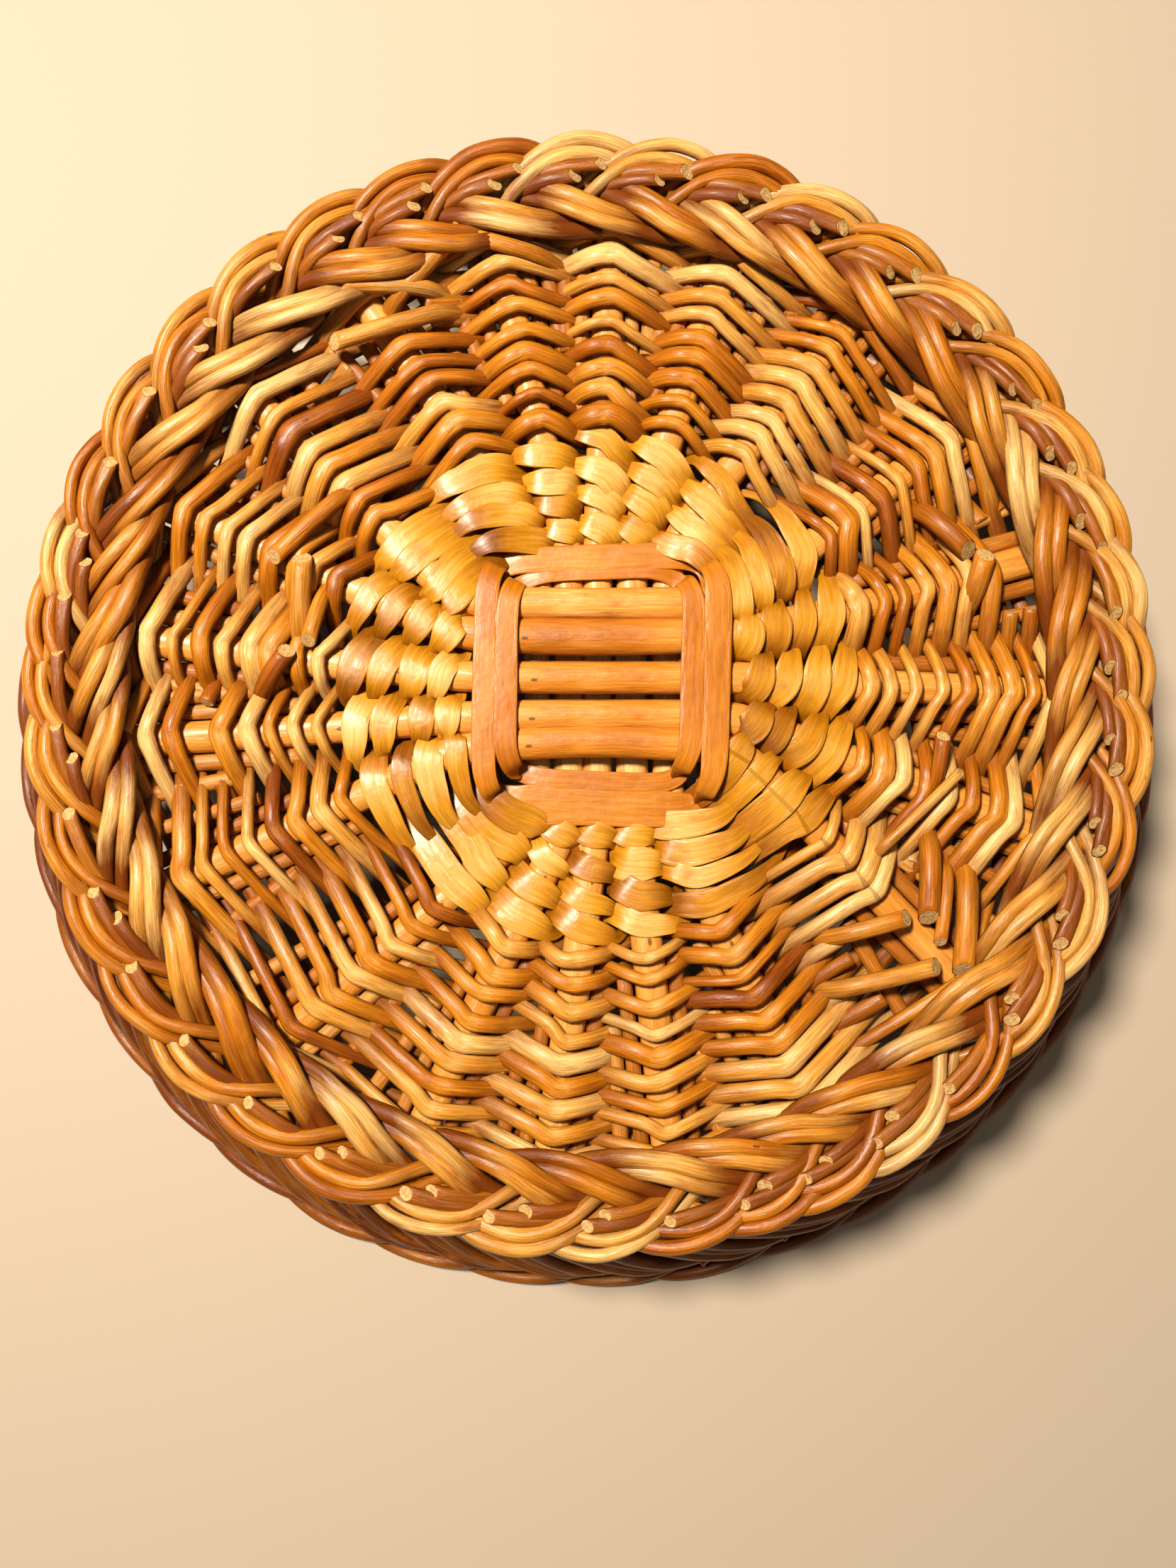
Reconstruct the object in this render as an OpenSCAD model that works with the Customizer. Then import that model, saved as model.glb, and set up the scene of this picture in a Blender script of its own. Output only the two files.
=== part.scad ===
// Round willow bread basket, lying upside down on its rim: the rim plait is on z = 0 and the
// woven base, with the foot plait around it, is at the top. +Z points up out of the underside.

/* [Overall] */
// Outer diameter of the rim plait
rim_d = 300; // [288:1:304]
// Outer diameter of the foot plait
foot_d = 250; // [246:1:256]
// Height from the rim plane to the top of the foot plait
height = 56; // [53:0.5:66]
// How far each wall stake leans round the basket between base and rim, in degrees
wall_lean = 18; // [12:1:24]

/* [Base cross] */
// Thickness of a base stick
stick_d = 6.4; // [5.4:0.1:6.6]
// Spacing of the five sticks that lie side by side
stick_pitch = 8; // [7.4:0.1:8.6]
// Length of a stick's straight middle
stick_straight = 62; // [58:1:64]
// Offset of the hand-laid cross from the basket's axis, along X
cross_x = 2.0; // [0:0.1:3]
// Offset of the hand-laid cross from the basket's axis, along Y
cross_y = 1.6; // [0:0.1:5]

/* [Weaving] */
// Width of a split flat skein in the inner rounds
skein_w = 3.2; // [2.4:0.1:3.2]
// Thickness of a split flat skein
skein_t = 1.1; // [0.8:0.1:1.2]
// Spacing of the skein rounds
skein_pitch = 6.5; // [6.5:0.1:6.8]
// Radius of the first skein round
skein_r = 35; // [34.5:0.1:35.5]
// Thickness of a round weaving rod
weaver_d = 2.6; // [2.2:0.1:2.6]
// Spacing of the rod rounds
weaver_pitch = 5.3; // [5.25:0.05:5.3]
// Radius of the first rod round
weaver_r = 60.5; // [60:0.1:60.5]

/* [Stakes and borders] */
// Thickness of a stake in the base and in the wall
stake_d = 2.8; // [2.2:0.1:3]
// Thickness of a rod in the plaited borders
plait_d = 3.4; // [3:0.1:3.4]
// Depth of each plaited border
plait_depth = 9; // [8.5:0.1:9.5]

/* [Hidden] */
side_names = ["right", "far", "left", "near"];
// Directions in which the five stick ends of each side fan out, as the maker opened them
fan = [
    [-38, -17.5, -0.5, 16.5, 35.5],
    [55, 72.5, 87.5, 102, 120],
    [139, 156.5, 173.5, 186.5, 205],
    [228.5, 249, 265, 279.5, 297.5]
];
spoke_dir = [for (side = fan) for (a = side) a];
spokes = len(spoke_dir);
strokes = 2 * spokes;
stroke_step = 360 / strokes;
skein_rounds = 4;
rod_rounds = 9;
// Sides of a swept strand: a base stick, a weaving rod, and a skein split flat
stick_sides = 8;
rod_sides = 6;
skein_sides = 4;
// Facets round a straight rod
rod_facets = 20;
// Room left between rods that lie side by side
clear = 0.1;
// Depth of the flats worn on the rods where the basket rests
worn = 0.35;

base_z = height - plait_depth - stake_d / 2 - clear;
cross_lift = stick_d / 2;
cross = [cross_x, cross_y];
half = stick_straight / 2;
// Where the two layers of sticks have come level
level_r = 62;
// Where the sticks and the base stakes end, and where the inner and outer stakes begin
stick_end_r = 106;
stake_end_r = 113;
inner_stake_r = 66;
outer_stake_r = 86;
// Room that a round needs on each side of a stick: for the inner stakes, then where the outer
// stakes begin, and where the sticks end
inner_stake_room = 0.6;
outer_stake_room = 3;
fanned_stake_room = 8;
// Share of the gap between two sticks at which an outer stake meets the base's edge
stake_spread = 3 / 8;
centre_shift_end_r = weaver_r + 6 * weaver_pitch;

over_names = [for (i = [1 : 5]) str("over_stick_", i)];
under_names = [for (i = [1 : 5]) str("under_stick_", i)];
skein_names = [for (i = [1 : skein_rounds]) str("skein_round_", i)];
rod_names = [for (i = [1 : rod_rounds]) str("rod_round_", i)];
base_stake_names = [for (s = side_names) str("base_stakes_", s)];
wall_stake_names = [for (s = side_names) str("wall_stakes_", s)];

stick_colour = [0.80, 0.56, 0.31];
skein_colour = [0.90, 0.70, 0.40];
rod_colour = [0.82, 0.54, 0.25];
stake_colour = [0.76, 0.50, 0.25];
wall_colour = [0.58, 0.32, 0.12];
plait_colour = [0.78, 0.46, 0.18];
cut_colour = [0.93, 0.80, 0.56];

// ---- geometry helpers ----

function unit(v) = v / norm(v);
function polar(r, a, z = 0) = [r * cos(a), r * sin(a), z];
function mix(a, b, t) = a + (b - a) * t;
function flat(p) = [p[0], p[1]];
function at_height(p, z) = [p[0], p[1], z];

// The distance from p along the unit direction u to the circle of radius r round c
function reach(p, u, c, r) = let (m = p - c, b = m * u) -b + sqrt(b * b - m * m + r * r);

// Ring k of a swept strand: an n-sided oval of width w and thickness t, its width kept level
function oval(points, k, w, t, n, closed) =
    let (
        last = len(points) - 1,
        before = closed ? (k + last) % (last + 1) : max(k - 1, 0),
        after = closed ? (k + 1) % (last + 1) : min(k + 1, last),
        along = unit(points[after] - points[before]),
        across = unit([along[1], -along[0], 0]),
        up = cross3(across, along)
    )
    [for (i = [0 : n - 1]) points[k] + across * w / 2 * cos(360 * (i + 0.5) / n)
        + up * t / 2 * sin(360 * (i + 0.5) / n)];
function cross3(a, b) = [
    a[1] * b[2] - a[2] * b[1],
    a[2] * b[0] - a[0] * b[2],
    a[0] * b[1] - a[1] * b[0]
];

// A strand swept through the points, open with flat ends or closed into a ring
module strand(points, w, t, n = rod_sides, closed = false) {
    m = len(points);
    body = [for (k = [0 : m - 1]) each oval(points, k, w, t, n, closed)];
    walls = [
        for (k = [0 : closed ? m - 1 : m - 2])
            for (i = [0 : n - 1])
                let (
                    a = k * n + i,
                    b = k * n + (i + 1) % n,
                    c = ((k + 1) % m) * n + (i + 1) % n,
                    d = ((k + 1) % m) * n + i
                )
                each [[a, b, c], [a, c, d]]
    ];
    caps = closed ? [] : [
        [for (i = [0 : n - 1]) n - 1 - i],
        [for (i = [0 : n - 1]) (m - 1) * n + i]
    ];
    polyhedron(points = body, faces = concat(walls, caps));
}

// A straight round rod from p to q
module rod(p, q, d) {
    v = q - p;
    translate(p)
        rotate([0, acos(v[2] / norm(v)), atan2(v[1], v[0])])
            cylinder(h = norm(v), d = d, $fn = rod_facets);
}

// ---- where things lie ----

// The centre of a round: on the cross for the inner rounds, drifting to the axis further out
function round_centre(r) =
    cross * max(0, min(1, (centre_shift_end_r - r) / (centre_shift_end_r - skein_r)));

// The place where a spoke leaves the straight part of its stick
function spoke_root(k) =
    let (side = floor(k / 5), i = k % 5 - 2, lane = i * stick_pitch)
    cross + [[half, lane], [-lane, half], [-half, -lane], [lane, -half]][side];
function spoke_tip(k) = flat(polar(stick_end_r, spoke_dir[k]));
function spoke_point(k, r) =
    let (p = spoke_root(k), u = unit(spoke_tip(k) - p), c = round_centre(r))
    p + u * reach(p, u, c, r);
// Sticks of the upper layer start above the middle plane and those below it start under it
function spoke_side(k) = floor(k / 5) % 2 == 0 ? 1 : -1;
function spoke_lift(k, r) =
    spoke_side(k) * cross_lift * max(0, min(1, (level_r - r) / (level_r - half)));
function spoke_z(k, r) = base_z + spoke_lift(k, r);

// Half the width of the bundle that a round passes over: the stick, with its stakes further out
function bundle(r) =
    stick_d / 2
    + (r < inner_stake_r - stake_d ? 0
    : r < outer_stake_r ? inner_stake_room
    : mix(outer_stake_room, fanned_stake_room, (r - outer_stake_r) / (stick_end_r - outer_stake_r)));

// A round of pairing: each strand goes over one spoke and under the next, and the two twist
// round each other in the gaps
function pairing(r, thick, twist, phase) =
    let (c = round_centre(r), w = bundle(r) / r * 180 / PI)
    [
        for (k = [0 : spokes - 1])
            let (
                p = spoke_point(k, r) - c,
                a = atan2(p[1], p[0]),
                over = (k + phase) % 2 == 0 ? 1 : -1,
                z = spoke_z(k, r) + over * (stick_d / 2 + thick / 2)
            )
            for (end = [-1, 1])
                at_height(c + flat(polar(r + end * over * twist, a + end * w)), z)
    ];

// ---- base ----

// One stick of the cross, with its two ends opened out
module base_stick(k_one, k_two, lift) {
    ends = [for (k = [k_one, k_two])
        [for (r = [stick_end_r, level_r])
            at_height(r == stick_end_r ? spoke_tip(k) : spoke_point(k, r), base_z)]];
    straight = [for (k = [k_one, k_two]) at_height(spoke_root(k), base_z + lift)];
    color(stick_colour)
        strand([ends[0][0], ends[0][1], straight[0], straight[1], ends[1][1], ends[1][0]],
            stick_d, stick_d, stick_sides);
}
module over_stick(i) base_stick(i - 1, 15 - i, cross_lift);
module under_stick(i) base_stick(10 - i, 14 + i, -cross_lift);

// The binding of the cross: each skein runs twice round a square, over one pair of sides and
// under the other, so that both faces of the cross are held on all four sides
binding_gap = 2;
binding_pitch = 5;
binding_w = 3.3;
// How far a skein slants across a side, and how far short of the corner it starts to dive
binding_slant = 1.1;
binding_dive = 3.6;
module binding_skein(phase) {
    lane = stick_pitch * 2 + stick_d / 2 + binding_gap;
    for (turn = [0, 1]) {
        r = lane + turn * binding_pitch;
        points = [
            for (side = [0 : 3])
                let (
                    over = (side + phase) % 2 == 0 ? 1 : -1,
                    reach_z = base_z + over * (stick_d + skein_t / 2 + clear)
                )
                for (end = [-1, 1])
                    let (s = r + over * end * binding_slant, t = end * (lane - binding_dive))
                    at_height(cross + flat(polar(s, side * 90)) + t * flat(polar(1, side * 90 + 90)),
                        reach_z)
        ];
        color(skein_colour) strand(points, binding_w, skein_t, skein_sides, true);
    }
}

module skein_round(i) {
    r = skein_r + (i - 1) * skein_pitch;
    color(skein_colour)
        for (phase = [0, 1])
            strand(pairing(r, skein_t, skein_w / 2 - clear, phase), skein_w * 0.9, skein_t,
                skein_sides, true);
}

module rod_round(i) {
    r = weaver_r + (i - 1) * weaver_pitch;
    color(rod_colour)
        for (phase = [0, 1])
            strand(pairing(r, weaver_d, weaver_d / 2, phase), weaver_d, weaver_d, rod_sides, true);
}

// Where the line of a spoke would meet the base's edge, and the bearing of that place
function edge_point(k) =
    let (p = spoke_root(k), u = unit(spoke_tip(k) - p)) p + u * reach(p, u, [0, 0], stake_end_r);
function edge_dir(k) =
    let (p = edge_point(k), a = atan2(p[1], p[0])) a + 360 * round((spoke_dir[k] - a) / 360);

// The direction in which stake j of spoke k meets the base's edge: the inner two stay beside the
// stick, and the outer two spread towards the neighbouring sticks
function stake_dir(k, j) =
    let (
        here = edge_dir(k),
        next = edge_dir((k + 1) % spokes) + (k == spokes - 1 ? 360 : 0),
        last = edge_dir((k + spokes - 1) % spokes) - (k == 0 ? 360 : 0),
        beside = (stick_d + stake_d + 4 * clear) / 2 / stake_end_r * 180 / PI
    )
    j == 0 ? here - (here - last) * stake_spread
    : j == 1 ? here - beside
    : j == 2 ? here + beside
    : here + (next - here) * stake_spread;

// The stakes pushed in beside the five sticks of one side, two on each side of a stick
module base_stakes(side) {
    gap = stick_d / 2 + stake_d / 2 + clear;
    color(stake_colour)
        for (k = [side * 5 : side * 5 + 4]) {
            u = unit(spoke_tip(k) - spoke_root(k));
            across = [-u[1], u[0]];
            for (j = [0 : 3]) {
                inner = j == 1 || j == 2;
                offset_by = (j < 2 ? -1 : 1) * (inner ? gap : gap + stake_d + clear);
                start = spoke_point(k, inner ? inner_stake_r : outer_stake_r) + across * offset_by;
                finish = flat(polar(stake_end_r, stake_dir(k, j)));
                rod(at_height(start, base_z), at_height(finish, base_z), stake_d);
            }
        }
}

// ---- wall ----

// A wall stake starts outside and just under its base stake, and ends over the rim's rows
bend_out = stake_d / 2 + 4 * clear;
bend_down = 0.8;
wall_top_r = stake_end_r + bend_out;
wall_top_z = base_z - bend_down;
wall_foot_r = rim_d / 2 - 2.4 * plait_d;
wall_foot_z = plait_depth + stake_d / 2 + 2 * clear;
first_dir = spoke_dir[0] - stroke_step;
// Spacing of the two stakes of a pair at the rim
pair_pitch = stake_d * 1.9;

// The place of stake j of spoke k on the rim, where the stakes are evenly spaced in pairs
function rim_dir(k, j) =
    first_dir + stroke_step * (2 * k + floor(j / 2)) + wall_lean
    + (j % 2 == 0 ? -1 : 1) * pair_pitch / 2 / wall_foot_r * 180 / PI;

// The wall stakes of one side: each turns down at the base's edge and leans to the rim
module wall_stakes(side)
    color(wall_colour)
        for (k = [side * 5 : side * 5 + 4])
            for (j = [0 : 3])
                rod(polar(wall_top_r, stake_dir(k, j), wall_top_z),
                    polar(wall_foot_r, rim_dir(k, j), wall_foot_z), stake_d);

// ---- borders ----

// One row of a plaited border: a pair of rods a stroke, each stroke leaning on the one before it.
// lean is +1 where the counter-clockwise end is the higher one, and -1 where it is the lower one.
function row_slope(r) = atan((plait_d + worn) / (r * stroke_step * PI / 180));
function row_length(r) =
    let (slope = row_slope(r)) (plait_depth + 2 * worn - plait_d * cos(slope)) / sin(slope);
// How far the ends of a straight rod stand out past its middle
function row_bulge(r) = pow(row_length(r) / 2, 2) / 2 / r;
module pair_row(r, z, lean) {
    slope = row_slope(r);
    length = row_length(r);
    for (k = [0 : strokes - 1])
        for (dr = [-1, 1])
            rotate([0, 0, k * stroke_step])
                translate([r + dr * (plait_d / 2 + clear / 2), 0, z])
                    rotate([90 - lean * slope, 0, 0])
                        cylinder(h = length, d = plait_d, center = true, $fn = rod_facets);
}

// Short cut ends between the two rows of a border
cut_d = plait_d * 0.85;
cut_length = 3 * plait_d;
cut_slope = 14;
module cut_row(r, z, lean) {
    for (k = [0 : strokes - 1])
        rotate([0, 0, (k + 0.5) * stroke_step])
            translate([r, 0, z])
                rotate([90 + lean * cut_slope, 0, 0])
                    cylinder(h = cut_length, d = cut_d, center = true, $fn = rod_facets);
}

// From the middle of an outer row to the cut ends, and from the cut ends to the inner row
outer_to_cut = plait_d * 1.45 + clear;
cut_to_inner = plait_d * 1.5 + clear;
foot_z = height - plait_depth / 2;
foot_outer_r = foot_d / 2 - plait_d - clear / 2 - row_bulge(foot_d / 2);
foot_cut_r = foot_outer_r - outer_to_cut;
foot_inner_r = foot_cut_r - cut_to_inner - row_bulge(foot_d / 2);
rim_z = plait_depth / 2;
rim_outer_r = rim_d / 2 - plait_d - clear / 2 - row_bulge(rim_d / 2);
rim_cut_r = rim_outer_r - outer_to_cut;
rim_inner_r = rim_cut_r - cut_to_inner - row_bulge(rim_d / 2);

// Keeps what lies between the rim plane and the foot plane, so that both have true flats
module between_planes()
    intersection() {
        children();
        cylinder(h = height, d = 2 * rim_d, $fn = 64);
    }

module foot_outer_pairs() color(plait_colour) between_planes() pair_row(foot_outer_r, foot_z, 1);
module foot_inner_pairs() color(plait_colour) between_planes() pair_row(foot_inner_r, foot_z, 1);
module foot_cut_ends() color(cut_colour) cut_row(foot_cut_r, height - plait_d, 1);
module rim_outer_pairs() color(plait_colour) between_planes() pair_row(rim_outer_r, rim_z, -1);
module rim_inner_pairs() color(plait_colour) between_planes() pair_row(rim_inner_r, rim_z, -1);
module rim_cut_ends() color(cut_colour) cut_row(rim_cut_r, plait_d, -1);

// Ends of weaving rods that lie on the underside, each as [radius, direction, turn, length]
tails = [
    [74, 158, 100, 14], [65, 161, 80, 16], [62, 172, 150, 12], [68, 180, 60, 12],
    [88, 19, 92, 18], [82, 321, 18, 20], [94, 320, 15, 22], [94, 333, 75, 18],
    [81, 347, 50, 26], [93, 123, 140, 20], [94, 114, 155, 20]
];
module weaver_tails() {
    tail_z = base_z + stick_d / 2 + weaver_d * 1.5 + clear;
    color(rod_colour)
        for (t = tails) {
            middle = polar(t[0], t[1], tail_z);
            half_way = polar(t[3] / 2, t[2]);
            rod(middle - half_way, middle + half_way, weaver_d);
        }
}

binding_skein(0);  // binding_skein_a
binding_skein(1);  // binding_skein_b
for (i = [1 : 5]) over_stick(i);
for (i = [1 : 5]) under_stick(i);
for (i = [1 : skein_rounds]) skein_round(i);
for (i = [1 : rod_rounds]) rod_round(i);
for (i = [0 : 3]) base_stakes(i);
for (i = [0 : 3]) wall_stakes(i);
foot_outer_pairs();
foot_inner_pairs();
foot_cut_ends();
weaver_tails();
rim_outer_pairs();
rim_inner_pairs();
rim_cut_ends();
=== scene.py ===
"""A round willow bread basket lying upside down on its rim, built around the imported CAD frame.

Every rod, stake and split skein is a strand swept along its own centreline. Strands are worked
out in millimetres in the CAD frame, and become metres when their mesh is made.
"""

import math

import bpy
import numpy as np
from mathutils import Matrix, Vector


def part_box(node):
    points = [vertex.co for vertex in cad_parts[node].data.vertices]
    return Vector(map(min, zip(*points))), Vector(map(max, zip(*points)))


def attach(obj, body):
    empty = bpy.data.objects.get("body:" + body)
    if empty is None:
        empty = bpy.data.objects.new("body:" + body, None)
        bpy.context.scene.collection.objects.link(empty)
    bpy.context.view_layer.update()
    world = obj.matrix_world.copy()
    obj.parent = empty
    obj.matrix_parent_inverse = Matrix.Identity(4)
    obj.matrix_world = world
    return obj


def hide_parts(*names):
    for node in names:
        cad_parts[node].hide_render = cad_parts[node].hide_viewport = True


MM = 0.001
BODY = "root"
SIDES = ("right", "far", "left", "near")
UP = np.array([0.0, 0.0, 1.0])

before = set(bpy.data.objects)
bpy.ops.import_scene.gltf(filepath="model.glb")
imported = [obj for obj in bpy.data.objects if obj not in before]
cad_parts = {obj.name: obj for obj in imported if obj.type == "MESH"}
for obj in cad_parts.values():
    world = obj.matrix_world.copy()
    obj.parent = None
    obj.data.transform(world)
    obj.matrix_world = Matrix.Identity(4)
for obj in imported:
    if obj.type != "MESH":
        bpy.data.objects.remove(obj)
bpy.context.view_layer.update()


# ---------------------------------------------------------------- places, from the frame


def box_mm(node):
    """The lowest and highest corner of a CAD node, in mm."""
    low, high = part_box(node)
    return np.array(low) / MM, np.array(high) / MM


RIM_R = box_mm("rim_outer_pairs")[1][0]
FOOT_R = box_mm("foot_outer_pairs")[1][0]
TOP_Z = box_mm("foot_outer_pairs")[1][2]
BASE_Z = float(sum(box_mm("rod_round_9")[i][2] for i in (0, 1)) / 2)
CROSS = sum(box_mm("binding_skein_a"))[:2] / 2

# Skein rounds, then rod rounds: how many there are, the radius of the first, and the spacing
SKEIN_ROUNDS = 4
SKEIN_R = 35.0
SKEIN_PITCH = 6.5
ROD_ROUNDS = 9
WEAVER_R = 60.5
WEAVER_PITCH = 5.35
# From this radius outwards the rounds are centred on the basket's own axis
CENTRED_R = 93.5

# Sticks in each layer of the cross, and the spokes that their ends make
STICKS = 5
SPOKES = 4 * STICKS
# Strokes in each border, and the degrees between them
UNITS = 40
STEP = 360 / UNITS

# The cross of sticks: half its straight middle, thickness, and how far each layer is off the middle
STRAIGHT = 31.0
STICK_THICK = 5.6
LIFT = 3.0
# Radius from which both layers of sticks lie at one height
LEVEL_R = 62.0
# Radius of the base's edge, where the stakes turn down into the wall
STAKE_END_R = 113.0
# Length of a stick's end, over which its middle is found
TIP_RUN = 8


def polar(r, a):
    """A point in plan at radius r and direction a, in degrees."""
    return np.stack([r * np.cos(np.radians(a)), r * np.sin(np.radians(a))], -1)


def heading(v):
    """The direction of a point in plan from the frame's origin, in degrees."""
    return math.degrees(math.atan2(v[1], v[0]))


def stick_tips(node, axis):
    """The middles in plan of a base stick's two ends, first the one towards + along axis."""
    points = np.array([v.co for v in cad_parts[node].data.vertices]) / MM
    away = np.hypot(points[:, 0], points[:, 1])
    tips = []
    for sign in (1, -1):
        half = sign * points[:, axis] > 0
        end = points[half & (away > away[half].max() - TIP_RUN)]
        tips.append(((end.min(0) + end.max(0)) / 2)[:2])
    return tips


OVER_TIPS = [stick_tips(f"over_stick_{i + 1}", 0) for i in range(STICKS)]
UNDER_TIPS = [stick_tips(f"under_stick_{i + 1}", 1) for i in range(STICKS)]
# How far each stick, laid by hand, is from the middle of the cross
OVER_LANES = (-15.1, -8.2, 0.7, 10.3, 17.7)
UNDER_LANES = (-14.2, -7.3, -0.2, 7.6, 15.7)

# The twenty spokes counter-clockwise, as (root, tip, layer) with layer +1 for the upper sticks
SPOKE = (
    [(CROSS + [STRAIGHT, OVER_LANES[i]], OVER_TIPS[i][0], 1) for i in range(STICKS)]
    + [(CROSS + [UNDER_LANES[i], STRAIGHT], UNDER_TIPS[i][0], -1) for i in reversed(range(STICKS))]
    + [(CROSS + [-STRAIGHT, OVER_LANES[i]], OVER_TIPS[i][1], 1) for i in reversed(range(STICKS))]
    + [(CROSS + [UNDER_LANES[i], -STRAIGHT], UNDER_TIPS[i][1], -1) for i in range(STICKS)]
)


def round_centre(r):
    """The rounds start on the hand-laid cross and drift to the basket's own axis."""
    return CROSS * float(np.clip((CENTRED_R - r) / (CENTRED_R - SKEIN_R), 0, 1))


def spoke_line(k):
    """Where spoke k leaves the cross, and its direction outwards as a unit vector."""
    root, tip, _ = SPOKE[k % SPOKES]
    return root, (tip - root) / np.linalg.norm(tip - root)


def spoke_at(k, centre, r):
    """The place in plan where spoke k passes out through the circle of radius r about centre."""
    root, u = spoke_line(k)
    m = root - centre
    b = m @ u
    return root + u * (-b + math.sqrt(b * b - m @ m + r * r))


def on_spoke(k, r):
    """The place in plan where a round of radius r crosses spoke k."""
    return spoke_at(k, round_centre(r), r)


def spoke_z(k, r):
    """The height of the middle of spoke k at radius r."""
    level = float(np.clip((LEVEL_R - r) / (LEVEL_R - STRAIGHT), 0, 1))
    return BASE_Z + SPOKE[k % SPOKES][2] * LIFT * level


# ---------------------------------------------------------------- strands


def resample(points, spacing, closed=False):
    """Points evenly spaced along a polyline, and their places along the control points."""
    points = np.asarray(points, float)
    if closed:
        points = np.vstack([points, points[:1]])
    steps = np.linalg.norm(np.diff(points, axis=0), axis=1)
    run = np.concatenate([[0], np.cumsum(steps)])
    count = max(3, int(round(run[-1] / spacing)))
    at = np.linspace(0, run[-1], count, endpoint=not closed)
    index = np.interp(at, run, np.arange(len(points)))
    return np.stack([np.interp(at, run, points[:, i]) for i in range(3)], 1), index


def soften(values, sigma, closed=False):
    """A Gaussian blur along the first axis. The ends of an open strand stay where they are."""
    reach = max(1, int(3 * sigma))
    kernel = np.exp(-0.5 * (np.arange(-reach, reach + 1) / sigma) ** 2)
    kernel /= kernel.sum()
    values = np.asarray(values, float)
    if closed:
        padded = np.concatenate([values[-reach:], values, values[:reach]])
    else:
        before = 2 * values[:1] - values[reach:0:-1]
        after = 2 * values[-1:] - values[-2 : -reach - 2 : -1]
        padded = np.concatenate([before, values, after])
    if values.ndim == 1:
        return np.convolve(padded, kernel, "valid")
    return np.stack([np.convolve(padded[:, i], kernel, "valid") for i in range(values.shape[1])], 1)


def curve_through(points, spacing, softness, closed=False):
    """A smooth centreline near the control points: spacing and softness are in mm."""
    points = np.asarray(points, float)
    if not closed:
        spacing = min(spacing, np.linalg.norm(np.diff(points, axis=0), axis=1).sum() / 6)
    line, index = resample(points, spacing, closed)
    sigma = softness / spacing
    if not closed:
        sigma = min(sigma, (len(line) - 2) / 3.2)
    return soften(line, sigma, closed), index


def drift(rng, count, knots, closed=False):
    """A smooth random run of values around 0, about one unit high."""
    knots = max(3, int(knots))
    values = rng.normal(0, 0.6, knots)
    if closed:
        at = np.arange(count) * knots / count
        values = np.concatenate([values, values[:1]])
    else:
        at = np.linspace(0, knots - 1, count)
    low = np.minimum(at.astype(int), len(values) - 2)
    t = at - low
    t = t * t * (3 - 2 * t)
    return values[low] * (1 - t) + values[low + 1] * t


def directions(line, closed):
    """Unit vectors along a strand, across it and out of its top, at each point."""
    if closed:
        along = np.roll(line, -1, 0) - np.roll(line, 1, 0)
    else:
        along = np.gradient(line, axis=0)
    along /= np.linalg.norm(along, axis=1)[:, None]
    across = np.cross(along, UP)
    across /= np.linalg.norm(across, axis=1)[:, None]
    return along, across, np.cross(across, along)


# A strand's end is drawn in to this share of its girth, and stands out by this many mm
LIP_SHARE = 0.88
LIP_OUT = 0.15
# How many widths back from its end a sloping cut begins
CUT_RUN = 1.2
# Each strand starts at a different place in the grain, so that neighbours differ
GRAIN_STEP = 37.0
GRAIN_CYCLE = 9973
GRAIN_ACROSS = 0.013


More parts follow.
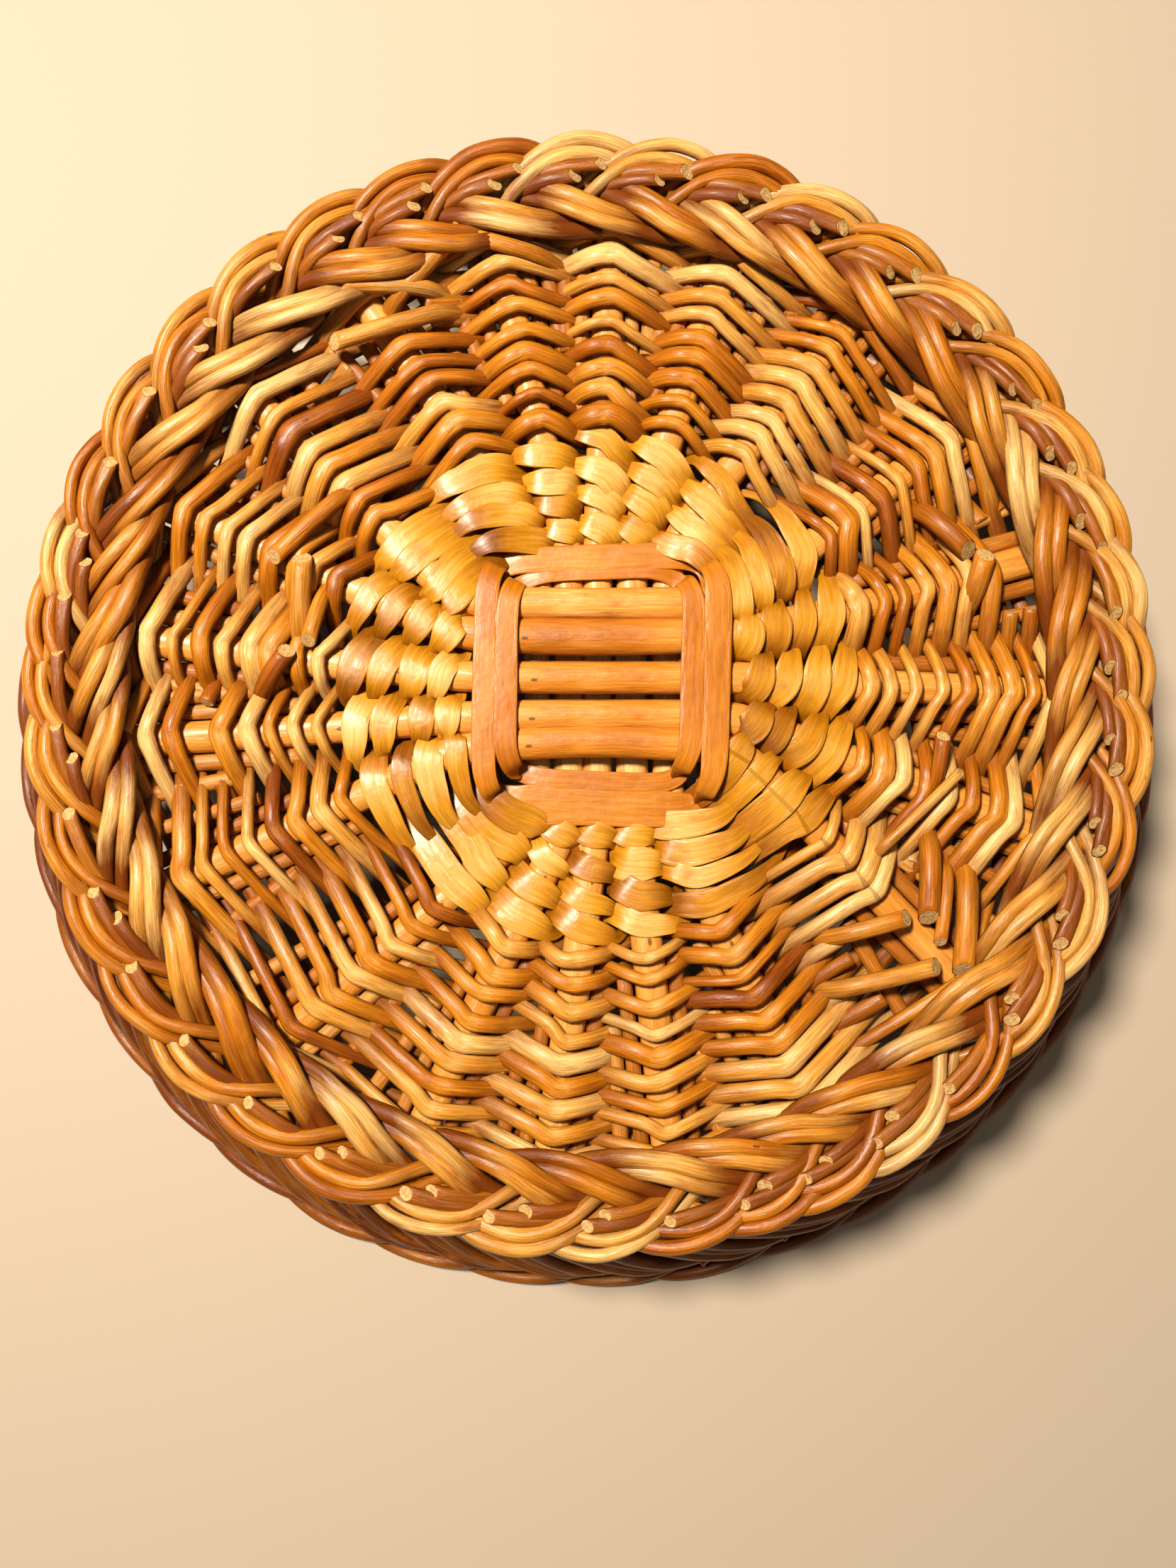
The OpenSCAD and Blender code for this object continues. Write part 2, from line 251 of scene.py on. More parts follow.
class Strands:
    """Gathers strands and makes them one mesh.

    Each point keeps what the materials read: grain is its place across and along its own strand in
    mm, and tint holds the strand's tone, how browned it is (partly real browning, partly painted shade
    where it passes under other strands), 1 on a cut face, and how high round the strand the point is,
    from which the materials paint shade on its low side.
    """

    def __init__(self):
        self.places, self.grains, self.tints = [], [], []
        self.quads, self.ends = [], []
        self.count = 0

    def add(self, line, width, thick, tone, brown_and_shade, sides=8, closed=False, square=1.0, slope=0.0):
        """A strand along line. Width, thick, tone and brown are numbers or one value a point.

        A section is round at square 1, and nearer to a rectangle below that. Slope is how far the
        last end's cut leans back to face up: mm along for each mm of height.
        """
        line = np.asarray(line, float)
        m = len(line)
        width, thick, tone, brown_and_shade = (np.broadcast_to(v, (m,)) for v in (width, thick, tone, brown_and_shade))
        along, across, normal = directions(line, closed)
        run = np.concatenate([[0], np.cumsum(np.linalg.norm(np.diff(line, axis=0), axis=1))])
        angle = 2 * np.pi * (np.arange(sides) + 0.5) / sides
        c, s = np.cos(angle), np.sin(angle)
        x = np.sign(c) * np.abs(c) ** square
        y = np.sign(s) * np.abs(s) ** square
        side_off = (width / 2)[:, None, None] * x[None, :, None] * across[:, None, :]
        top_off = (thick / 2)[:, None, None] * y[None, :, None] * normal[:, None, :]
        rings = line[:, None, :] + side_off + top_off
        if slope:
            lean = np.clip(1 - (run[-1] - run) / (CUT_RUN * width[-1]), 0, 1)
            height = (top_off @ UP) * slope * lean[:, None]
            rings = rings - height[..., None] * along[:, None, :]
        offset = GRAIN_STEP * (self.count % GRAIN_CYCLE)
        grain = np.empty((m, sides, 3))
        grain[..., 0] = (width / 2)[:, None] * c + offset * GRAIN_ACROSS
        grain[..., 1] = (thick / 2)[:, None] * s
        grain[..., 2] = run[:, None] + offset
        tint = np.zeros((m, sides, 4))
        tint[..., 0] = tone[:, None]
        tint[..., 1] = brown_and_shade[:, None]
        # How high round the strand a point is. The materials paint shade from it on each strand's low
        # side.
        tint[..., 3] = 0.5 + 0.5 * s
        self.add_faces(m, sides, closed)
        self.add_points(rings, grain, tint)
        if not closed:
            for end, sign in ((0, -1), (-1, 1)):
                lip = line[end] + (rings[end] - line[end]) * LIP_SHARE + along[end] * sign * LIP_OUT
                self.add_points(lip, grain[end], tint[end])

    def add_points(self, places, grains, tints):
        """Points, with their grain and tint."""
        self.places.append(places.reshape(-1, 3))
        self.grains.append(grains.reshape(-1, 3))
        self.tints.append(tints.reshape(-1, 4))
        self.count += len(self.places[-1])

    def add_faces(self, m, sides, closed):
        """The faces of a strand of m rings, whose points are added next."""
        ring = self.count + np.arange(m * sides).reshape(m, sides)
        beside = np.roll(ring, -1, 1)
        if closed:
            quads = np.stack([ring, beside, np.roll(beside, -1, 0), np.roll(ring, -1, 0)], -1)
            self.quads.append(quads.reshape(-1, 4))
            return
        quads = np.stack([ring[:-1], beside[:-1], beside[1:], ring[1:]], -1)
        head = self.count + m * sides + np.arange(sides)
        tail = head + sides
        lip_head = np.stack([head, np.roll(head, -1), beside[0], ring[0]], -1)
        lip_tail = np.stack([ring[-1], beside[-1], np.roll(tail, -1), tail], -1)
        self.quads += [quads.reshape(-1, 4), lip_head, lip_tail]
        self.ends += [head[::-1], tail]

    def mesh(self, name):
        """The gathered strands as one mesh, with the attributes that the materials read."""
        places = np.concatenate(self.places)
        places[:, 2] = np.clip(places[:, 2], 0, TOP_Z)
        places *= MM
        quads = np.concatenate(self.quads)
        sizes = [np.full(len(quads), 4)] + [np.array([len(e)]) for e in self.ends]
        corners = np.concatenate([quads.ravel()] + self.ends).astype(np.int32)
        sizes = np.concatenate(sizes).astype(np.int32)
        starts = np.concatenate([[0], np.cumsum(sizes)[:-1]]).astype(np.int32)
        mesh = bpy.data.meshes.new(name)
        mesh.vertices.add(len(places))
        mesh.vertices.foreach_set("co", places.astype(np.float32).ravel())
        mesh.loops.add(len(corners))
        mesh.loops.foreach_set("vertex_index", corners)
        mesh.polygons.add(len(sizes))
        mesh.polygons.foreach_set("loop_start", starts)
        smooth = np.ones(len(sizes), bool)
        smooth[len(quads) :] = False
        mesh.update(calc_edges=True)
        mesh.polygons.foreach_set("use_smooth", smooth)
        grain = mesh.attributes.new("grain", "FLOAT_VECTOR", "POINT")
        grain.data.foreach_set("vector", np.concatenate(self.grains).astype(np.float32).ravel())
        tints = np.concatenate(self.tints)[corners]
        tints[quads.size :, 2] = 1
        tint = mesh.attributes.new("tint", "FLOAT_COLOR", "CORNER")
        tint.data.foreach_set("color", tints.astype(np.float32).ravel())
        mesh.validate()
        return mesh

    def make(self, name, nodes, slot, material):
        """The gathered strands as one piece that stands for the CAD nodes."""
        mesh = self.mesh(name)
        mesh.materials.append(material)
        piece = bpy.data.objects.new(name, mesh)
        bpy.context.scene.collection.objects.link(piece)
        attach(piece, BODY)
        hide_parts(*nodes)
        return piece


# ---------------------------------------------------------------- materials


class Nodes:
    """A short way to write a material's node tree."""

    def __init__(self, name):
        self.material = bpy.data.materials.new(name)
        self.material.use_nodes = True
        self.tree = self.material.node_tree
        self.tree.nodes.clear()

    def new(self, kind, **settings):
        """A new node with these settings."""
        node = self.tree.nodes.new(kind)
        for key, value in settings.items():
            setattr(node, key, value)
        return node

    def link(self, source, target):
        """Feeds one socket from another."""
        self.tree.links.new(source, target)

    def attribute(self, name):
        """The node that reads one of a mesh's attributes."""
        return self.new("ShaderNodeAttribute", attribute_name=name)

    def math(self, operation, a, b, clamp=False):
        """A sum on two values, each a socket or a number."""
        node = self.new("ShaderNodeMath", operation=operation, use_clamp=clamp)
        for i, value in enumerate((a, b)):
            if isinstance(value, (int, float)):
                node.inputs[i].default_value = value
            else:
                self.link(value, node.inputs[i])
        return node.outputs[0]

    def noise(self, vector, scale, stretch, detail=3.0, roughness=0.55):
        """Noise on the grain: scale is per mm, and stretch squeezes it along the strand."""
        place = self.new("ShaderNodeMapping")
        place.inputs["Scale"].default_value = (scale, scale, scale * stretch)
        self.link(vector, place.inputs["Vector"])
        node = self.new("ShaderNodeTexNoise")
        node.inputs["Scale"].default_value = 1.0
        node.inputs["Detail"].default_value = detail
        node.inputs["Roughness"].default_value = roughness
        self.link(place.outputs[0], node.inputs["Vector"])
        return node.outputs["Fac"]

    def sway(self, value, share):
        """How far a noise is above its middle, 0.5, times share."""
        return self.math("MULTIPLY", self.math("SUBTRACT", value, 0.5), share)

    def spread(self, value, low, high, to_low=0.0, to_high=1.0):
        """A value moved smoothly from the range low to high into another range."""
        node = self.new("ShaderNodeMapRange", interpolation_type="SMOOTHSTEP")
        limits = {"From Min": low, "From Max": high, "To Min": to_low, "To Max": to_high}
        for name, number in limits.items():
            node.inputs[name].default_value = number
        self.link(value, node.inputs["Value"])
        return node.outputs["Result"]

    def blend(self, factor, a, b, how="MIX"):
        """Two colours mixed by factor. Each is a socket, or a tuple of red, green and blue."""
        node = self.new("ShaderNodeMix", data_type="RGBA", blend_type=how)
        if isinstance(factor, (int, float)):
            node.inputs["Factor"].default_value = factor
        else:
            self.link(factor, node.inputs["Factor"])
        for value, name in ((a, "A"), (b, "B")):
            target = [s for s in node.inputs if s.name == name and s.type == "RGBA"][0]
            if isinstance(value, tuple):
                target.default_value = (*value, 1)
            else:
                self.link(value, target)
        return [s for s in node.outputs if s.type == "RGBA"][0]

    def bump(self, height, strength, distance):
        """A bump node: distance is in metres."""
        node = self.new("ShaderNodeBump")
        node.inputs["Strength"].default_value = strength
        node.inputs["Distance"].default_value = distance
        self.link(height, node.inputs["Height"])
        return node


# The colours that willow takes on: patches of stain, browned bends that also serve as painted shade
# where strands pass under others, painted shade on the low side of each strand, small specks, and the
# darkest and palest wood of a cut face
STAIN = (0.42, 0.115, 0.004)
BROWNED_AND_SHADE = (0.165, 0.034, 0.001)
UNDERSIDE_SHADE = (0.22, 0.10, 0.04)
SPECK = (0.10, 0.028, 0.006)
CUT_DARK = (0.48, 0.26, 0.08)
CUT_PALE = (0.72, 0.47, 0.19)
# Cells that may hold a speck, for each mm: twice across the strand, and along it
SPECK_CELLS = (0.34, 0.34, 0.13)
# Depth in metres of a rod's fibres, and of the shallow dents in every strand
ROD_RELIEF = 0.0002
DENT_DEPTH = 0.0006


def toned(n, value, ramp):
    """The ramp's colour at a value."""
    colours = n.new("ShaderNodeValToRGB")
    stops = colours.color_ramp.elements
    while len(stops) < len(ramp):
        stops.new(0.5)
    for stop, (place, colour) in zip(stops, ramp):
        stop.position = place
        stop.color = (*colour, 1)
    n.link(value, colours.inputs["Fac"])
    return colours.outputs["Color"]


def brown_and_shade_mix(n, colour, brown_and_shade, patch, streaks):
    """The colour, browned with a ragged edge."""
    # The browning amount also carries painted shade.
    ragged = n.math("ADD", n.sway(patch, 0.9), n.sway(streaks, 0.8))
    amount = n.math("ADD", brown_and_shade, ragged, clamp=True)
    amount = n.math("MULTIPLY", amount, n.spread(brown_and_shade, 0.0, 0.3))
    return n.blend(amount, colour, BROWNED_AND_SHADE)


def speckles(n, grain, specks):
    """1 in small specks, and 0 elsewhere. There are more of them as specks rises."""
    place = n.new("ShaderNodeMapping")
    place.inputs["Scale"].default_value = SPECK_CELLS
    n.link(grain, place.inputs["Vector"])
    cells = n.new("ShaderNodeTexVoronoi")
    cells.inputs["Scale"].default_value = 1.0
    n.link(place.outputs[0], cells.inputs["Vector"])
    chosen = n.new("ShaderNodeSeparateColor")
    n.link(cells.outputs["Color"], chosen.inputs[0])
    size = n.math("MULTIPLY", chosen.outputs[0], 0.15)
    near = n.math("LESS_THAN", cells.outputs["Distance"], size)
    rare = n.math("GREATER_THAN", chosen.outputs[1], 1.0 - 0.45 * specks)
    return n.math("MULTIPLY", near, rare)


def willow(name, ramp, fibre, specks, gloss, coat, relief=ROD_RELIEF):
    """Varnished willow. The ramp runs over the strands' tones, from dark to pale.

    Relief is the depth of the fibres in metres.
    """
    n = Nodes(name)
    grain = n.attribute("grain").outputs["Vector"]
    tints = n.attribute("tint")
    tint = n.new("ShaderNodeSeparateColor")
    n.link(tints.outputs["Color"], tint.inputs[0])
    tone, brown_and_shade, cut = tint.outputs[0], tint.outputs[1], tint.outputs[2]
    height = tints.outputs["Alpha"]
    slow = n.noise(grain, 0.10, 0.8, 2.0)
    streaks = n.noise(grain, 0.95, 0.045, 3.0, 0.6)
    fine = n.noise(grain, 2.4, 0.035, 4.0, 0.65)
    hair = n.noise(grain, 6.0, 0.02, 2.0, 0.6)
    patch = n.noise(grain, 0.40, 0.30, 3.0, 0.6)
    speck = speckles(n, grain, specks)

    # Colour: tone with slow drift along the strand, streaks and fibres, patches of stain
    shifted = n.math("ADD", tone, n.sway(slow, 0.5))
    shifted = n.math("ADD", shifted, n.sway(streaks, 0.75 * fibre))
    shifted = n.math("ADD", shifted, n.sway(fine, 0.6 * fibre))
    streak = n.spread(hair, 0.35, 0.7, 1.0 - 0.45 * fibre, 1.1)
    colour = n.blend(1.0, toned(n, shifted, ramp), streak, "MULTIPLY")
    colour = n.blend(n.spread(patch, 0.52, 0.78, 0.0, 0.7), colour, STAIN)
    colour = brown_and_shade_mix(n, colour, brown_and_shade, patch, streaks)
    # Painted shade: darker on each strand's low side, between and under the strands
    underside_shaded = n.blend(1.0, colour, UNDERSIDE_SHADE, "MULTIPLY")
    colour = n.blend(n.spread(height, 0.12, 0.85), underside_shaded, colour)
    colour = n.blend(n.math("MULTIPLY", speck, 0.8), colour, SPECK)

    # Cut faces: mottled pale wood
    mottle = n.noise(grain, 1.6, 1.0, 3.0)
    pale = n.blend(n.spread(mottle, 0.35, 0.65), CUT_DARK, CUT_PALE)
    colour = n.blend(cut, colour, pale)

    shader = n.new("ShaderNodeBsdfPrincipled")
    n.link(colour, shader.inputs["Base Color"])
    rough = n.spread(fine, 0.3, 0.75, gloss - 0.08, gloss + 0.2)
    rough = n.math("ADD", rough, n.math("MULTIPLY", cut, 0.25))
    n.link(rough, shader.inputs["Roughness"])
    shader.inputs["Coat Weight"].default_value = coat
    shader.inputs["Coat Roughness"].default_value = 0.22
    shader.inputs["Specular IOR Level"].default_value = 0.34

    # Relief: long fibres over shallow dents
    fibres = n.math("ADD", n.math("ADD", fine, streaks), n.math("MULTIPLY", hair, 0.4))
    fibres = n.bump(fibres, 0.5, relief)
    dents = n.math("SUBTRACT", patch, n.math("MULTIPLY", speck, 0.4))
    dents = n.bump(dents, 0.6, DENT_DEPTH)
    n.link(dents.outputs[0], fibres.inputs["Normal"])
    n.link(fibres.outputs[0], shader.inputs["Normal"])
    out = n.new("ShaderNodeOutputMaterial")
    n.link(shader.outputs[0], out.inputs["Surface"])
    return n.material


# Each ramp: places from 0 to 1, with the colour there in linear red, green and blue
ROD_RAMP = [
    (0.0, (0.24, 0.048, 0.001)),
    (0.25, (0.46, 0.12, 0.002)),
    (0.5, (0.68, 0.225, 0.007)),
    (0.75, (0.81, 0.36, 0.055)),
    (1.0, (0.90, 0.53, 0.17)),
]
SKEIN_RAMP = [
    (0.0, (0.25, 0.072, 0.001)),
    (0.3, (0.46, 0.165, 0.003)),
    (0.65, (0.65, 0.28, 0.014)),
    (1.0, (0.75, 0.42, 0.10)),
]
BINDING_RAMP = [
    (0.0, (0.30, 0.060, 0.001)),
    (0.45, (0.50, 0.145, 0.004)),
    (1.0, (0.70, 0.27, 0.022)),
]
STICK_RAMP = [
    (0.0, (0.42, 0.115, 0.004)),
    (0.4, (0.72, 0.24, 0.02)),
    (0.75, (0.86, 0.37, 0.07)),
    (1.0, (0.92, 0.56, 0.18)),
]
# Darker than the rods' ramp: painted shade, for stakes that lie under the rods
STAKE_RAMP = [
    (0.0, (0.28, 0.06, 0.002)),
    (0.5, (0.58, 0.18, 0.01)),
    (1.0, (0.86, 0.42, 0.09)),
]
# Darker than the other willow: painted shade, for the wall under the foot's edge
WALL_SHADE_RAMP = [
    (0.0, (0.070, 0.010, 0.0005)),
    (0.4, (0.17, 0.033, 0.001)),
    (1.0, (0.44, 0.13, 0.005)),
]

# Each material's name, ramp, fibre, specks, gloss, coat and, where it isn't a rod's, relief
MATERIALS = {
    "base_stick": willow("split_willow_stick", STICK_RAMP, 0.55, 0.5, 0.4, 0.12, 0.0001),
    "skein": willow("silky_willow_skein", SKEIN_RAMP, 0.5, 0.4, 0.33, 0.1, 0.00006),
    "binding": willow("willow_binding", BINDING_RAMP, 0.4, 0.2, 0.36, 0.1, 0.00004),
    "weaver": willow("varnished_weaving_rod", ROD_RAMP, 0.9, 0.8, 0.36, 0.08),
    "base_stake": willow("base_stake_willow", STAKE_RAMP, 1.0, 0.5, 0.46, 0.05),
    "wall_stake": willow("shaded_wall_willow", WALL_SHADE_RAMP, 0.8, 0.5, 0.42, 0.1),
    "plait": willow("varnished_border_rod", ROD_RAMP, 1.0, 0.9, 0.36, 0.06),
    "cut_end": willow("cut_rod", ROD_RAMP, 0.9, 0.6, 0.42, 0.1),
}


# ---------------------------------------------------------------- the cross of sticks

# Each stick's width, tone, and sideways bow in mm, at the middle of the cross
STICK_WIDTHS = {"over": (7.8, 7.2, 7.4, 8.6, 7.2), "under": (5.8, 6.8, 6.4, 7.3, 7.0)}
STICK_TONES = {"over": (0.25, 0.45, 0.35, 0.05, 0.85), "under": (1.1, 0.95, 1.0, 1.05, 1.0)}
STICK_BOWS = {"over": (1.7, 0.6, 0.0, -0.3, 0.3), "under": (0.0, 0.3, 0.0, -0.3, 0.0)}
# Width and tone of the opened-out ends
STICK_END_W = 7.4
STICK_END_TONE = 0.6
STICK_BROWN = 0.05
# How fast a stick changes from its middle to its ends
STICK_MIDDLE = 4.2
# A stick has this share of its lift at each end of its straight middle, and all of it this far in
ROOT_LIFT = 0.97
FLAT_INSET = 6


def base_stick(layer, i, seed):
    """One stick of the cross: its flattened middle, and its two opened-out ends."""
    rng = np.random.default_rng(seed)
    axis, tips = (0, OVER_TIPS[i]) if layer == "over" else (1, UNDER_TIPS[i])
    lift = LIFT if layer == "over" else -LIFT
    lane = (OVER_LANES if layer == "over" else UNDER_LANES)[i]
    points = []
    for tip, sign in ((tips[0], 1), (tips[1], -1)):
        outwards = np.zeros(2)
        outwards[axis] = sign
        root = outwards * STRAIGHT
        root[1 - axis] = lane
        root = root + CROSS
        level = root + (tip - root) * (LEVEL_R - STRAIGHT) / np.linalg.norm(tip - root)
        rows = [
            [*tip, BASE_Z],
            [*level, BASE_Z],
            [*root, BASE_Z + lift * ROOT_LIFT],
            [*(root - outwards * FLAT_INSET), BASE_Z + lift],
        ]
        points.append(rows)
    line, _ = curve_through(points[0] + points[1][::-1], 2.0, 5.0)
    m = len(line)
    middle = np.exp(-(np.linspace(-STICK_MIDDLE, STICK_MIDDLE, m) ** 2))
    line[:, 1 - axis] += drift(rng, m, 7) * 0.25 + STICK_BOWS[layer][i] * middle
    width = STICK_END_W + (STICK_WIDTHS[layer][i] - STICK_END_W) * middle + drift(rng, m, 9) * 0.25
    tone = STICK_END_TONE + (STICK_TONES[layer][i] - STICK_END_TONE) * middle + drift(rng, m, 6) * 0.15
    strands = Strands()
    strands.add(line, width, STICK_THICK, tone, STICK_BROWN, 12, square=0.8)
    return strands


for which, layer in enumerate(("over", "under")):
    for i in range(STICKS):
        node = f"{layer}_stick_{i + 1}"
        stick = base_stick(layer, i, 10 + i + STICKS * which)
        stick.make(node + "_willow", [node], "base_stick", MATERIALS["base_stick"])


# ---------------------------------------------------------------- the binding of the cross

# Thickness of a binding strand, and its width at the corners, where it is gathered in
BINDING_T = 0.9
CORNER_W = 4.4
# Strand widths of the inner and outer turn on the right, far, left and near side
BINDING_W = ((5.6, 2.6, 5.2, 4.8), (6.2, 6.2, 5.4, 8.8))
# Where each turn's middle runs, from the middle of the cross
BINDING_LANE = ((20.7, 24.9, 20.9, 22.4), (25.9, 28.6, 25.5, 28.0))
# How far each side has slanted off its lane, this many mm from the side's middle
BINDING_SLANT = (0.5, -0.6, 0.3, 0.7)
SLANT_RUN = 17
# A side's stops, in mm from where it meets the next one: at the corner, near it, and clear of it
CORNER_STOPS = (2.2, 5.5, 10)
# How far inside its lane a strand is at and near a corner, how far it sinks at the corner to pass
# the strand that crosses it, and how clear it is of the sticks
CORNER_IN = 2.2
NEAR_IN = 0.4
CORNER_SINK = 1.3
BINDING_GAP = 0.1


def binding(phase, seed):
    """The skein that lies over the cross on two opposite sides and under it on the other two."""
    rng = np.random.default_rng(seed)
    strands = Strands()
    for turn in (0, 1):
        lanes = BINDING_LANE[turn]
        points, widths = [], []
        for side in range(4):
            over = 1 if (side + phase) % 2 == 0 else -1
            layer = LIFT if side % 2 == 0 else -LIFT
            z = BASE_Z + layer + over * (STICK_THICK / 2 + BINDING_T / 2 + BINDING_GAP)
            first, last = -lanes[side - 1], lanes[(side + 1) % 4]
            full = BINDING_W[turn][side]
            half_gathered = (full + CORNER_W) / 2
            at, near, clear = CORNER_STOPS
            corner = (CORNER_IN, CORNER_W, CORNER_SINK * over)
            stops = (
                (first + at, *corner),
                (first + near, NEAR_IN, half_gathered, 0),
                (first + clear, 0.0, full, 0),
                (0.0, 0.0, full, 0),
                (last - clear, 0.0, full, 0),
                (last - near, NEAR_IN, half_gathered, 0),
                (last - at, *corner),
            )
            for t, inside, width, sink in stops:
                slant = BINDING_SLANT[side] * t / SLANT_RUN
                out = polar(lanes[side] + slant - inside, side * 90)
                along = polar(t, side * 90 + 90)
                points.append([*(CROSS + out + along), z - sink])
                widths.append(width)
        line, index = curve_through(points, 1.0, 2.4, True)
        m = len(line)
        width = soften(np.interp(index, np.arange(len(widths) + 1), widths + widths[:1]), 3, True)
        width = width * (1 + 0.04 * drift(rng, m, 16, True))
        tone = 0.55 + 0.18 * drift(rng, m, 10, True)
        strands.add(line, width, BINDING_T, tone, 0.04, 16, True, square=0.25)
    return strands


binding(0, 31).make("binding_skein_a_willow", ["binding_skein_a"], "skein", MATERIALS["binding"])
binding(1, 32).make("binding_skein_b_willow", ["binding_skein_b"], "skein", MATERIALS["binding"])


# ---------------------------------------------------------------- pairing


# How a strand goes from the spoke that it lies over to the next one. Ahead is counter-clockwise.
# Each row: share of the open space between the spokes, mm out from the round, and height from 1
# on top of a spoke to -1 beneath it. Over and under are mm out from the round, on top of a spoke
# and beneath it. A rod's end behind stays high and crosses the other's end
# ahead, and a skein's end ahead comes to a point on top of the next one.
ROD_ARMS = {
    "over": 1.7,
    "under": -1.7,
    "ahead": ((0.0, 1.2, 0.93), (0.3, 0.9, 0.15), (0.6, 0.1, -0.45), (1.0, -1.2, -0.93)),
    "behind": ((0.0, 0.7, 0.95), (0.3, -0.5, 0.62), (0.6, -1.6, 0.1), (1.0, -1.9, -0.9)),
}
SKEIN_ARMS = {
    "over": 0.3,
    "under": -0.6,
    "ahead": ((0.0, 1.3, 1.0), (0.35, 2.7, 0.85), (0.65, 3.0, 0.1), (1.0, 1.2, -0.95)),
    "behind": ((0.0, -1.0, 0.9), (0.35, -2.2, 0.5), (0.7, -2.8, 0.0), (1.0, -2.2, -0.8)),
}
# How far from a spoke's middle the open space begins, and how far behind it a strand is highest
SHOULDER = 3.9
BEND_BACK = 1.1
# How far up a strand goes for each mm that a corner of the cross pushes it out
CORNER_RISE = 0.3


def pairing(r, phase, thick, arms, rng, wander, bulge=0.0):
    """One of a round's two strands: over one spoke and under the next, all the way round.

    Bulge is how far out it is pushed, in mm, where it goes round a corner of the cross. Returns
    the control points, and each one's place in spokes.
    """
    points, places = [], []
    rise = STICK_THICK / 2 + thick / 2
    centre = round_centre(r)
    for k in range(SPOKES):
        over = (k + phase) % 2 == 0
        here, after = on_spoke(k, r), on_spoke(k + 1, r)
        step = np.linalg.norm(after - here)
        near = SHOULDER / step
        if over:
            rows = [(-BEND_BACK / step, arms["over"], 1.0)]
            rows += [(near + (1 - 2 * near) * s, out, up) for s, out, up in arms["ahead"]]
        else:
            back = reversed(arms["behind"])
            rows = [(0.0, arms["under"], -1.0)]
            rows += [(near + (1 - 2 * near) * (1 - s), out, up) for s, out, up in back]
        moved = rng.normal(0, wander)
        corner = bulge if k % STICKS == STICKS - 1 else 0.0
        for share, out, up in rows:
            spot = here + (after - here) * share
            away = (spot - centre) / np.linalg.norm(spot - centre)
            level = spoke_z(k, r) * (1 - share) + spoke_z(k + 1, r) * share
            push = corner * 4 * max(share, 0.0) * (1 - share)
            z = level + up * rise + push * CORNER_RISE
            points.append([*(spot + away * (out + moved + push)), z])
            places.append(k + share)
    return points, places


# A gap at a join reaches this many spokes to each side, and shorter runs of points are left out
GAP_HALF = 0.36
SHORTEST_RUN = 9


def kept_runs(keep):
    """The runs of kept points of a closed strand, each as a list of places in it."""
    first = int(np.argmin(keep))
    runs, run = [], []
    for i in (np.arange(len(keep)) + first) % len(keep):
        if keep[i]:
            run.append(i)
        elif run:
            runs.append(run)
            run = []
    return [r for r in runs + [run] if len(r) >= SHORTEST_RUN]


def woven(strands, full, full_places, spacing, softness, look, rng, sides, gaps=(), square=1.0):
    """Sweeps a round's strand, left open over the spokes in gaps."""
    line, index = curve_through(full, spacing, softness, True)
    extended = np.array(full_places + [SPOKES + full_places[0]])
    place = np.interp(index, np.arange(len(full_places) + 1), extended)
    width, thick, tone, brown_and_shade = look(line, place, rng)
    if not gaps:
        strands.add(line, width, thick, tone, brown_and_shade, sides, True, square)
        return
    keep = np.ones(len(line), bool)
    for k in gaps:
        away = np.abs((place - k + SPOKES / 2) % SPOKES - SPOKES / 2)
        keep &= away > GAP_HALF
    for run in kept_runs(keep):
        strands.add(line[run], width[run], thick[run], tone[run], brown_and_shade[run], sides, square=square)


# Width and thickness of a skein
SKEIN_W = 6.5
SKEIN_T = 0.7
# How far each round is pushed out by the corners of the cross
CORNER_BULGE = (5.0, 3.4, 2.0, 0.8)
# A skein's width as a share of its full width, from 1 spoke behind the one it lies over to 1 ahead
SKEIN_TAPER = (
    (-1.0, 0.5),
    (-0.6, 0.85),
    (-0.3, 1.0),
    (0.0, 1.0),
    (0.25, 0.9),
    (0.45, 0.65),
    (0.66, 0.3),
    (1.0, 0.35),
)
# How much darker a skein is than its own tone, by its distance in spokes from the one it lies over:
# painted shade towards its ends, where it passes under the next spokes, and a paler middle that is a
# painted sheen
SKEIN_SHEEN_AND_SHADE = ((-0.9, 0.9), (-0.42, 0.55), (-0.1, 0.0), (0.1, 0.0), (0.4, 0.5))


def by_stroke(rng, place, phase, spread):
    """A random value for each stroke along a round, and how far each point is from its stroke."""
    stroke = np.round((place + phase) / 2).astype(int)
    values = rng.normal(0, spread, SPOKES // 2 + 2)
    values[SPOKES // 2] = values[0]
    return np.clip(values[stroke], -2 * spread, 2 * spread), place + phase - 2 * stroke


def skein_look(phase):
    """How a skein strand looks along its round: the width, thickness, tone and browning."""

    def look(line, place, rng):
        m = len(line)
        tones, away = by_stroke(rng, place, phase, 0.2)
        girths, _ = by_stroke(rng, place, phase, 0.13)
        taper = np.interp(away, *np.array(SKEIN_TAPER).T)
        width = SKEIN_W * taper * (1 + girths)
        shade = np.interp(away, *np.array(SKEIN_SHEEN_AND_SHADE).T)
        tone = 0.82 + tones - shade + 0.12 * drift(rng, m, 20, True)
        # Browner towards the ends, where the skein passes under the spokes: painted shade
        brown_and_shade = np.interp(np.abs(away), (0.35, 0.9), (0.0, 0.25))
        return soften(width, 1.5, True), np.full(m, SKEIN_T), soften(tone, 2, True), brown_and_shade

    return look


